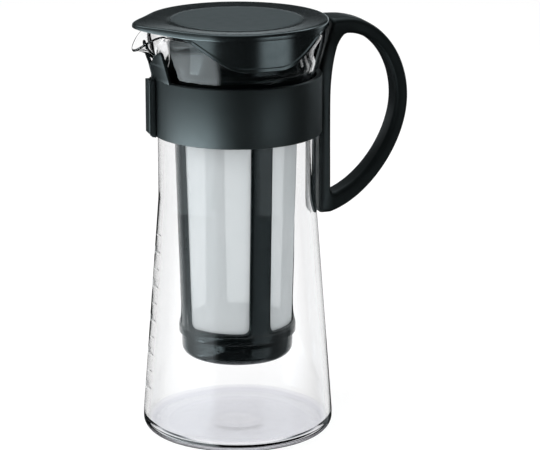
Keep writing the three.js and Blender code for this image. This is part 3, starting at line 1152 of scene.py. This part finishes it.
def window_edge():
    """Points round the window as angle, height, outward step and place on the quarter's border."""
    c = window_corner
    half = quarter_half
    low_end = window_z + c
    top_start = window_top - c
    points = []

    def add(inset, z, step, border):
        points.append((window_half_angle(z, inset), z, step, border))

    for t in steps(12)[1:]:
        width = window_half_angle(window_z, c)
        points.append((width * t, window_z, (0, -1), (half * t * border_share, quarter_low)))
    for i, (x, z) in enumerate(arc(0, low_end, c, -90, 0, 6)[1:], 1):
        a = math.radians(-90 + 15 * i)
        border_z = quarter_low if i < 4 else mix(quarter_low, low_end, (i - 3) / 3)
        border = (half * min(1.0, border_share + i / 15), border_z)
        add(c - x, z, (math.cos(a), math.sin(a)), border)
    for t in steps(36)[1:]:
        z = mix(low_end, top_start, t)
        add(0, z, (1, 0), (half, z))
    for i, (x, z) in enumerate(arc(0, top_start, c, 0, 90, 6)[1:], 1):
        a = math.radians(15 * i)
        border_z = shoulder_z if i > 2 else mix(top_start, shoulder_z, i / 3)
        border = (half * min(1.0, border_share + (6 - i) / 15), border_z)
        add(c - x, z, (math.cos(a), math.sin(a)), border)
    for t in steps(12)[1:]:
        width = window_half_angle(window_top, c)
        border = (half * (1 - t) * border_share, shoulder_z)
        points.append((width * (1 - t), window_top, (0, 1), border))
    left = [(-a, z, (-s, u), (-b, v)) for a, z, (s, u), (b, v) in reversed(points[:-1])]
    return points + left


edge_points = window_edge()
print("window edge:", len(edge_points), "points")

# %% [markdown]
# Rings of points then run from the quarter's border in to the window, over a small lip along the
# sill, through the wall and back out on the inner face. Geometry Nodes repeat the finished
# quarter about the axis and weld the four, so one drawing serves for all of them.

# %% Basket quarter
rib_turn = 6.3
lip_edge = 0.5
lip_high = 0.5
lip_out = 2.2
lip_bend = (1.7, -0.6), (1.1, -1)
sill_high = 9


def quarter_rings():
    """Each ring: share of the way to the border, step from the window, depth and raised lip."""
    e = lip_edge
    lip = [(lip_out, 0), *lip_bend, (e, -1)]
    turn_out = [(e * (1 - math.sin(a)), e * (1 - math.cos(a))) for a in (0.5, 1.0, 1.57)]
    turn_in = [(p, frame_wall - q) for p, q in reversed(turn_out)]
    rings = [(share, lip_out, 0, 0) for share in (1.0, 0.7, 0.4, 0.15)]
    rings += [(0, off, 0, raised) for off, raised in lip]
    rings += [(0, off, deep, -max(0.0, 1 - deep / e)) for off, deep in turn_out]
    rings += [(0, off, deep, 0) for off, deep in turn_in]
    rings += [(0, e, frame_wall, 0)]
    rings += [(share, lip_out, frame_wall, 0) for share in (0.15, 0.5, 1.0)]
    return rings


def basket_quarter():
    rings = []
    for share, off, deep, raised in quarter_rings():
        ring = []
        for angle, z, (side, up), (border, border_z) in edge_points:
            near_angle = angle + math.degrees(side * off / basket_r(z))
            at = mix(near_angle, border, share)
            height = mix(z + up * off, border_z, share)
            sill = ease((window_z + sill_high - height) / sill_high)
            ring.append(on_circle(basket_r(height) - deep - raised * lip_high * sill, at, height))
        rings.append(ring)
    points, faces = loft(rings)
    return points, faces[:-2]


def repeat_form():
    inputs = {"Count": "Int", "First Turn": "Float", "Material": "Material"}
    nodes, given = new_form("repeat_about_axis", inputs)
    spots = nodes.add("GeometryNodeMeshLine", None, {"Count": given["Count"], "Offset": (0, 0, 0)})
    index = nodes.add("GeometryNodeInputIndex")
    turn = given["First Turn"] + index / given["Count"] * TAU
    copies = nodes.add("GeometryNodeInstanceOnPoints", None, {
        "Points": spots, "Instance": given["Geometry"], "Rotation": nodes.join(0, 0, turn),
    })
    real = nodes.add("GeometryNodeRealizeInstances", None, {0: copies})
    close_form(nodes, weld(nodes, real), given["Material"])
    return nodes


repeat = repeat_form()
first_window = math.radians(180 + rib_turn + quarter_half)


def repeated(obj, material):
    values = {"Count": window_count, "First Turn": first_window, "Material": material}
    return apply_form(obj, repeat, values)


quarters = repeated(mesh_object("basket_quarters", *basket_quarter()), smooth_plastic)
print("basket wall:", len(quarters.data.polygons), "faces")

# %% [markdown]
# Above the windows the basket steps out to a cup with a flange that rests in the mouth, and
# below them it ends in a ring. Cup and ring are turned. The flange is open under the spout so
# that the pot can pour, so it is a bent bar with closed ends. All four are moulded in one.

# %% Cup, ring and flange
cup_z = mouth_z + 2.6
cup_edge = 0.4
lap = 0.06
lap_drop = 0.8
ring_r = foot_r + 0.7
ring_z = frame_low.z
ring_thick = 1.8
ring_edge = 0.5
ring_lap = 0.6
ring_slope = 1.9
ring_bevel = 0.4
ring_tuck = 0.1
cap_r = cap_high.x
flange_r = glass_r(cup_z) - wall - 0.3
flange_thick = 1.6
flange_edge = 0.3
flange_root = 0.2
flange_half = 150
fine_steps = 160


def cup_profile():
    e = cup_edge
    bore = cup_r - frame_wall
    return [
        (shoulder_r - lap, shoulder_z - lap_drop),
        (shoulder_r, shoulder_z),
        (cup_r, cup_z),
        *arc(cup_r - e, cup_top - e, e, 0, 90, 4),
        *arc(bore + e, cup_top - e, e, 90, 180, 4),
        (bore, cup_z),
        (shoulder_r - frame_wall + lap, shoulder_z - lap_drop),
        (shoulder_r - lap, shoulder_z - lap_drop),
    ]


def ring_profile():
    bore = cap_r - ring_thick
    e = ring_edge
    return [
        *arc(ring_r - e, ring_z + e, e, -90, 0, 4),
        *arc(ring_r - e, window_z - ring_slope, e, 0, 60, 4),
        (foot_r - ring_tuck, window_z - ring_lap),
        (bore + ring_bevel, window_z - ring_lap),
        (bore, ring_z),
        (ring_r - e, ring_z),
    ]


def flange():
    section = rounded(flange_r - cup_r + flange_root, flange_thick, flange_edge, 3)
    middle = (cup_r + flange_r) / 2 - flange_root / 2
    return bent_bar(section, middle, cup_z + flange_thick / 2, -flange_half, flange_half, 120)


cup = turned_object("basket_cup", cup_profile(), smooth_plastic, fine_steps)
ring = turned_object("basket_ring", ring_profile(), smooth_plastic, fine_steps)
flange_piece = mesh_object("basket_flange", *flange())
basket = merge_objects("basket_frame", quarters, cup, ring, flange_piece)
finish_piece(basket, "filter", smooth_plastic, ["filter_frame"])

# %% [markdown]
# Each window holds a bent sheet of cloth, set back behind the frame's face, with its edges tucked
# into the frame. One sheet is drawn as a thin slab with its UV map in millimetres, and the same
# tree that repeated the wall repeats it.

# %% Cloth sheets
cloth_inset = 1.4
cloth_thick = 0.3
cloth_tuck = 1.2
cloth_cells = (20, 24)


def cloth_sheet():
    columns, rows = (steps(count) for count in cloth_cells)
    points = []
    uvs = []
    for side in (0, 1):
        for up in rows:
            z = mix(window_z - cloth_tuck, window_top + cloth_tuck, up)
            r = basket_r(z) - cloth_inset - side * cloth_thick
            half = window_half_angle(z, -cloth_tuck)
            for across in columns:
                a = mix(-half, half, across)
                points.append(on_circle(r, a, z))
                uvs.append((math.radians(a) * basket_r(z), z))
    return points, slab_faces(len(columns), len(rows)), uvs


def cloth_object():
    points, faces, uvs = cloth_sheet()
    obj = mesh_object("basket_cloth", points, faces)
    layer = obj.data.uv_layers.new(name="UVMap")
    for loop in obj.data.loops:
        layer.data[loop.index].uv = uvs[loop.vertex_index]
    return repeated(obj, cloth)


sheets = cloth_object()
cloth_nodes = [f"filter_mesh_{i + 1}" for i in range(window_count)]
finish_piece(sheets, "filter", cloth, cloth_nodes)

# %% [markdown]
# A cap closes the basket's foot. It is a shallow cup with a round lower edge and a collar that
# pushes into the ring above it. Nothing on it breaks the round, so it is turned like the ring.

# %% Foot cap
cap_corner = 4.4
cap_thick = 1.8
cap_gap = 0.3
cap_edge = 0.4


def cap_profile():
    floor_z = cap_low.z + cap_thick
    rim = ring_z - cap_gap
    collar_z = cap_high.z
    collar_r = cap_r - cap_thick - cap_gap
    bore = collar_r - cap_thick
    inner = cap_corner / 2
    e = cap_edge
    return [
        (0, cap_low.z),
        *arc(cap_r - cap_corner, cap_low.z + cap_corner, cap_corner, -90, 0, 10),
        *arc(cap_r - e, rim - e, e, 0, 90, 3),
        (collar_r, rim),
        *arc(collar_r - e, collar_z - e, e, 0, 90, 3),
        *arc(bore + e, collar_z - e, e, 90, 180, 3),
        *arc(bore - inner, floor_z + inner, inner, 0, -90, 5),
        (0, floor_z),
    ]


cap = turned_object("foot_cap", cap_profile(), smooth_plastic, 128)
finish_piece(cap, "cap", smooth_plastic, ["filter_cap"])

# %% [markdown]
# The lid's plate is a barely dished disc in a soft groove, inside a ring that rises to a rounded
# rim. Towards the spout it is drawn out into a thin tongue. The plate is turned, and a formula
# draws the rim out, as on the carafe, so that disc and groove stay round.

# %% Lid plate
lid_reach = -lid_low.x - lid_r
lid_under = cup_top + 0.4
lid_land = 1.9
lid_edge = 1.2
lid_foot = 0.5
lid_pull = 18.3
tongue_angle = 40
tongue_top = 0.4
tongue_thinning = 0.4
tongue_crowding = 0.3
disc_r = 29.0
disc_drop = 0.15
disc_deep = 0.6
groove_run = 4.0
groove_deep = 0.55
ring_curve = 1.15


def lid_profile():
    ring_in = disc_r + groove_run
    land_in = lid_r - lid_land
    disc = [(disc_r * t, lid_z - disc_drop - disc_deep * (1 - t * t)) for t in steps(16)]
    groove = [(disc_r + groove_run * t, mix(disc_drop, groove_deep, ease(t))) for t in steps(6)[1:]]
    rise = [(mix(ring_in, land_in, t), groove_deep * (1 - t) ** ring_curve) for t in steps(10)[1:]]
    return [
        *disc,
        *[(r, lid_z - deep) for r, deep in groove + rise],
        *arc(lid_r - lid_edge, lid_z - lid_edge, lid_edge, 90, 0, 8),
        *arc(lid_r - lid_foot, lid_under + lid_foot, lid_foot, 0, -90, 4),
        (0, lid_under),
    ]


def tongue_form():
    sizes = ("Reach", "Radius", "Run", "Angle", "Top", "Thinning")
    inputs = {"Steps": "Int", **dict.fromkeys(sizes, "Float"), "Material": "Material"}
    nodes, given = new_form("tongue_form", inputs)
    body = turned(nodes, given["Geometry"], given["Steps"], tongue_crowding)
    x, y, z = nodes.parts(nodes.add("GeometryNodeInputPosition"))
    radius = ((x * x + y * y) ** 0.5).high(MM)
    share = (1 - (off_spout(x, y) / given["Angle"]).smooth(0, 1)) ** 2
    run = ((radius - given["Radius"] + given["Run"]) / given["Run"]).smooth(0, 1)
    out = 1 + given["Reach"] * share * run / radius
    raised = z + (given["Top"] - z) * given["Thinning"] * share * run
    drawn = nodes.join(x * out, y * out, raised)
    moved = nodes.add("GeometryNodeSetPosition", None, {"Geometry": body, "Position": drawn})
    close_form(nodes, weld(nodes, moved), given["Material"])
    return nodes


lid_outline = lid_profile()
plate = profile_object("lid_plate", lid_outline, [0] * len(lid_outline))
apply_form(plate, tongue_form(), {
    "Steps": 180, "Reach": lid_reach * MM, "Radius": lid_r * MM, "Run": lid_pull * MM,
    "Angle": tongue_angle, "Top": (lid_z - tongue_top) * MM, "Thinning": tongue_thinning,
    "Material": lid_plastic,
})
print("lid plate:", len(plate.data.polygons), "faces")

# %% [markdown]
# Under the plate hangs a skirt on each side, with a curved lower edge and a proud hem, and a ring
# that sits in the mouth and is open under the spout. The ring is a bent bar. The skirt's section
# grows and shrinks with its drop, so it is a loft of changing sections.

# %% Lid skirts and ring
lid_step = 0.5
skirt_r = lid_r - lid_step
skirt_thick = 0.9
skirt_root = 0.3
skirt_deep = 14.3
skirt_half = 56
skirt_flat = 11
hem_high = 1.7
hem_share = 0.8
hem_proud = 0.6
hem_run = 4
hem_bevel = 0.35
hem_edge = 0.3
hanging_root = 1.0
locator_thick = 1.4
locator_deep = 7.2
locator_open = 78
locator_clear = 1.6
locator_edge = 0.4


def skirt_section(drop):
    """Section of a skirt that hangs down by drop: wall, then a proud hem with a round edge."""
    hem = min(hem_high, hem_share * drop)
    proud = hem_proud * ease(drop / hem_run)
    return [
        (0, hanging_root), (0, -max(0.0, drop - hem - hem_bevel)), (proud, -(drop - hem)),
        (proud, -(drop - hem_bevel)), (proud - hem_edge, -drop), (hem_edge - skirt_thick, -drop),
        (-skirt_thick, -(drop - hem_edge)), (-skirt_thick, hanging_root),
    ]


def skirt(side):
    rings = []
    for t in steps(72):
        a = mix(-skirt_half, skirt_half, t)
        drop = skirt_root + skirt_deep * ease((skirt_half - abs(a)) / (skirt_half - skirt_flat))
        section = skirt_section(drop)
        rings.append([on_circle(skirt_r + u, side * 90 + a, lid_under + v) for u, v in section])
    return loft(rings)


def locating_ring():
    middle = glass_r(rim_z) - wall - locator_clear - locator_thick / 2
    middle_z = lid_under + (hanging_root - locator_deep) / 2
    section = rounded(locator_thick, locator_deep + hanging_root, locator_edge, 3)
    return bent_bar(section, middle, middle_z, locator_open - 180, 180 - locator_open, 140)


hanging = mesh_object("lid_hanging", *joined(skirt(-1), skirt(1), locating_ring()))
lid_piece = merge_objects("lid_shell", plate, hanging)
finish_piece(lid_piece, "lid", lid_plastic, ["lid"])

# %% [markdown]
# Measuring marks are printed on the glass beside the spout, in pale ink. Ink is slightly rough
# and never quite even, so a fine speckle varies both its colour and its roughness.

# %% Ink
speckle_size = 0.5
speckle_ends = (0.35, 0.65)
speckle_change = 0.2
ink_roughness = 0.5
ink_tones = (0.72, 0.73, 0.73, 1), (0.8, 0.81, 0.81, 1)


def printed_ink():
    material, nodes = new_material("printed_ink")
    speckle = nodes.noise(object_place(nodes), speckle_size, 2)
    surface = {
        "Base Color": nodes.mix(speckle.smooth(*speckle_ends), *ink_tones),
        "Roughness": ink_roughness + speckle * speckle_change,
    }
    close_material(nodes, nodes.add("ShaderNodeBsdfPrincipled", None, surface))
    return material


ink = printed_ink()
print("ink:", ink.name)

# %% [markdown]
# There is a line at every step, and every second one is longer. An image on the glass could
# carry them, but then they would have no edge of their own, so each line is a very thin slab.
# Geometry Nodes stack the lines by a rule, and they are then laid on the cone.

# %% Mark lines
ink_proud = 0.05
ink_thick = 0.03
marks_azimuth = 173
marks_low = 22.0
marks_step = 8.6
marks_count = 10
tick_long = 7
tick_wide = 0.5
tick_cells = 8
short_by = 0.45


def laid_on_glass(obj):
    """Moves flat work, drawn across X and up Y in millimetres, onto the cone."""
    for vertex in obj.data.vertices:
        across, up, out = vertex.co / MM
        r = glass_r(up) + ink_proud + out
        vertex.co = place(on_circle(r, marks_azimuth + math.degrees(across / r), up))


def marks_form():
    inputs = {"Count": "Int", "Start": "Float", "Step": "Float", "Material": "Material"}
    nodes, given = new_form("stacked_marks", inputs)
    along = {"Count": given["Count"], "Start Location": nodes.join(0, given["Start"], 0)}
    along["Offset"] = nodes.join(0, given["Step"], 0)
    spots = nodes.add("GeometryNodeMeshLine", None, along)
    odd = nodes.add("GeometryNodeInputIndex") % 2
    copies = nodes.add("GeometryNodeInstanceOnPoints", None, {
        "Points": spots, "Instance": given["Geometry"],
        "Scale": nodes.join(1 - odd * short_by, 1, 1),
    })
    close_form(nodes, copies, given["Material"])
    return nodes


def tick():
    points = []
    for z in (0, -ink_thick):
        for y in (-tick_wide / 2, tick_wide / 2):
            points += [(tick_long * t, y, z) for t in steps(tick_cells)]
    return points, slab_faces(tick_cells + 1, 2)


ticks = apply_form(mesh_object("mark_lines", *tick()), marks_form(), {
    "Count": marks_count, "Start": marks_low * MM, "Step": marks_step * MM, "Material": ink,
})
laid_on_glass(ticks)
print("mark lines:", marks_count)

# %% [markdown]
# Plain numbers stand beside the longer lines. They could be outlines drawn point by point, but
# Blender's own type is quicker: text is made a mesh first, then laid on the cone as the lines
# are, and lines and numbers end as one print.

# %% Mark numbers
number_high = 4.2
type_share = 1.35
number_gap = 1
first_number = 100
number_step = 50


def number_mesh(words, up):
    text = bpy.data.curves.new("mark_" + words, "FONT")
    text.body = words
    text.size = number_high * MM * type_share
    text.extrude = ink_thick / 2 * MM
    text.align_x = "RIGHT"
    text.align_y = "CENTER"
    shown = new_object("mark_" + words, text)
    graph = bpy.context.evaluated_depsgraph_get()
    mesh = bpy.data.meshes.new_from_object(shown.evaluated_get(graph))
    bpy.data.objects.remove(shown)
    mesh.transform(Matrix.Translation(place((-number_gap, up, 0))))
    return new_object("mark_" + words, mesh)


numbers = []
for i in range(0, marks_count, 2):
    numbers.append(number_mesh(str(first_number + number_step * i), marks_low + marks_step * i))
figures = merge_objects("mark_numbers", *numbers)
laid_on_glass(figures)
marks = merge_objects("measuring_marks", ticks, figures)
finish_piece(marks, "carafe", ink, sharp_angle=60)

# %% [markdown]
# Dark, shiny plastic is seen by what it mirrors. Real cards could stand round the pot, but they
# would show through the glass, so the cards are drawn in the world by direction: side is the
# angle round the pot and rise the angle over the horizon. Each range is a start, an end and a
# softness in degrees. A long card at the left gives the broad highlight, one at the right the
# second, and small ones serve the other views. The sky's band stands behind the pot, where
# forward, a ray's share of the camera's own direction, grows from nought to one.

# %% Cards for the plastic
left_starts = (-60, -8)
left_ends = (37, 50)
left_body = (-44, -9.5, 1), 1.4
left_top = (-9.5, 55, 3), 0.3
left_low = (-56, -25, 4), 4.2
right_sides = (104, 143, 7)
right_rises = (-36, -9.5, 1)
right_level = 0.5
strip_rises = (-13.5, -11.5)
strip_level = 2
back_card = (-122, -92, 6), (-6, 2, 3), 0.5
far_card = (-165, -138, 6), (-25, 55, 8), 0.4
sky_starts = (0.2, 0.7)
sky_high = (34, 62, 6), 1.6
sky_low = (-4, 6, 2), 0.7
above_starts = (58, 75)
above_level = 0.9
dark_level = 0.01


def lit(angle, band):
    (start, end, soft), level = band
    return angle.within(start, end, soft) * level


def card(side, rise, sides, rises, level):
    return side.within(*sides) * rise.within(*rises) * level


print("the left card's levels:", left_top[1], left_body[1], left_low[1])

# %% [markdown]
# The glass bends what is seen through it, so for those rays the left card stands higher, is
# turned and ends on a slope. The strip along the right card's upper edge is for satin skins
# alone: in the glass it would be a thin bright line.

# %% Light of the cards
glass_lift = 7
glass_turn = 20
glass_gain = 0.25
end_slope = 2.8
end_offset = 32


def left_card(side, rise, refracted):
    lifted = rise - refracted * glass_lift
    sloped = (rise * -end_slope - end_offset).high(0)
    start = (side - refracted * glass_turn).smooth(*left_starts)
    end = 1 - (side + refracted * sloped).smooth(*left_ends)
    level = lit(lifted, left_body) + lit(lifted, left_top) + lit(rise, left_low)
    return start * end * (1 + refracted * glass_gain) * level


def right_card(side, rise, blurred):
    strip = blurred * rise.smooth(*strip_rises) * strip_level
    return side.within(*right_sides) * rise.within(*right_rises) * (right_level + strip)


def other_cards(side, rise, forward, direct):
    sky = lit(rise, sky_high) + lit(rise, sky_low) + 2 * dark_level
    above = rise.smooth(*above_starts) * above_level
    far = direct * card(side, rise, *far_card)
    return card(side, rise, *back_card) + far + forward.smooth(*sky_starts) * sky + above


def card_glow(path, side, rise, forward):
    refracted = path.output("Transmission Depth").low(1)
    direct = 1 - refracted
    blurred = direct * (1 - path.output("Is Singular Ray"))
    glow = left_card(side, rise, refracted) + right_card(side, rise, blurred)
    return glow + other_cards(side, rise, forward, direct) + dark_level


away = (view * Vector((1, 1, 0))).normalized()
print(f"the camera looks along ({away.x:.2f}, {away.y:.2f})")

# %% [markdown]
# The air round the pot is white for the camera, and for rays that pass through the glass, where
# it dims a little higher up. Light that is caught inside the glass and leaves it forwards, or
# steeply, finds the white too, or the glass would fill with dark patches. Only what is mirrored
# sees the cards, and matt surfaces get a dim and even fill.

# %% Studio air
card_tint = (0.86, 0.96, 1.0, 1)
fill_level = 0.55
low_dimming = (5, 30), 0.22
high_dimming = (38, 70), 0.3
steep_starts = (8, 20)
deep_ends = (-62, -50)
leaving_starts = (0.45, 0.8)


def dimmed(rise, dimming):
    (start, end), share = dimming
    return rise.smooth(start, end) * share


def studio_world():
    world = bpy.data.worlds.new("studio")
    bpy.context.scene.world = world
    world.use_nodes = True
    nodes = Nodes(world.node_tree)
    x, y, z = nodes.parts(nodes.add("ShaderNodeTexCoord", None, None, "Generated"))
    side = y.math("ARCTAN2", y * -1, x * -1) * (360 / TAU)
    rise = z.math("ARCSINE", z) * (360 / TAU)
    forward = x * away.x + y * away.y
    path = nodes.add("ShaderNodeLightPath", None, None, "Is Camera Ray")
    bright = 1 - dimmed(rise, low_dimming) - dimmed(rise, high_dimming)
    steep = rise.smooth(*steep_starts).high(1 - rise.smooth(*deep_ends))
    leaving = forward.smooth(*leaving_starts).high(steep)
    inside = path.output("Transmission Depth").low(1) * leaving
    shiny = path.output("Glossy Depth").low(1) * (1 - inside)
    through = path.output("Is Transmission Ray") * (1 - shiny)
    matt = path.output("Is Diffuse Ray") * (1 - shiny)
    glow = card_glow(path, side, rise, forward)
    level = path + through * bright + matt * fill_level + shiny * glow
    tint = nodes.mix(shiny, (1, 1, 1, 1), card_tint)
    air = nodes.add("ShaderNodeBackground", None, {"Color": tint, "Strength": level})
    nodes.add("ShaderNodeOutputWorld", None, {"Surface": air})
    return nodes


air_nodes = studio_world()
print("studio air:", len(air_nodes.tree.nodes), "nodes")

# %% [markdown]
# Three large area lamps light the cloth, the ink and the floor at a plain level. They are seen
# neither by the camera, nor mirrored, nor through the glass: the cards already draw the shine.

# %% Lamps
pot_middle = (0, 0, 0.1)


def lamp(name, at, size, power):
    light = bpy.data.lights.new(name, "AREA")
    light.shape = "RECTANGLE"
    light.size, light.size_y = size
    light.energy = power
    obj = new_object(name, light)
    look(obj, at, pot_middle)
    obj.visible_camera = False
    obj.visible_glossy = False
    obj.visible_transmission = False


lamp("softbox_left", (-1.5, -0.6, 0.9), (1.0, 1.4), 13)
lamp("softbox_right", (1.3, -1.2, 0.8), (0.8, 1.2), 5)
lamp("softbox_above", (0, 0.2, 1.7), (1.6, 1.6), 14)
print("lamps:", len(bpy.data.lights))

# %% [markdown]
# The floor is half matt white, so that it keeps the pot's shadow, and half glowing, so that it
# is as white as the air. For mirrored rays it is open, or its white would drown the cards.

# %% Floor
floor_half = 3000
floor_white = (0.93, 0.93, 0.93, 1)
floor_roughness = 0.9
floor_gloss = 0.1
glow_share = 0.5
seen_gain = 0.2


def floor_sheet():
    h = floor_half
    obj = mesh_object("floor", [(-h, -h, 0), (h, -h, 0), (h, h, 0), (-h, h, 0)], [(0, 1, 2, 3)])
    material, nodes = new_material("floor_white")
    surface = {"Base Color": floor_white, "Roughness": floor_roughness}
    surface["Specular IOR Level"] = floor_gloss
    matt = nodes.add("ShaderNodeBsdfPrincipled", None, surface)
    path = nodes.add("ShaderNodeLightPath", None, None, "Is Camera Ray")
    seen = path.high(path.output("Is Transmission Ray"))
    level = 1 + seen * seen_gain
    glow = nodes.add("ShaderNodeEmission", None, {"Color": (1, 1, 1, 1), "Strength": level})
    hidden = nodes.add("ShaderNodeBsdfTransparent")
    shiny = path.output("Glossy Depth").low(1)
    close_material(nodes, nodes.blend(shiny, nodes.blend(glow_share, matt, glow), hidden))
    obj.data.materials.append(material)


floor_sheet()
bpy.context.scene.view_settings.view_transform = "Standard"
print("studio ready")

# %% Final update


bpy.context.view_layer.update()
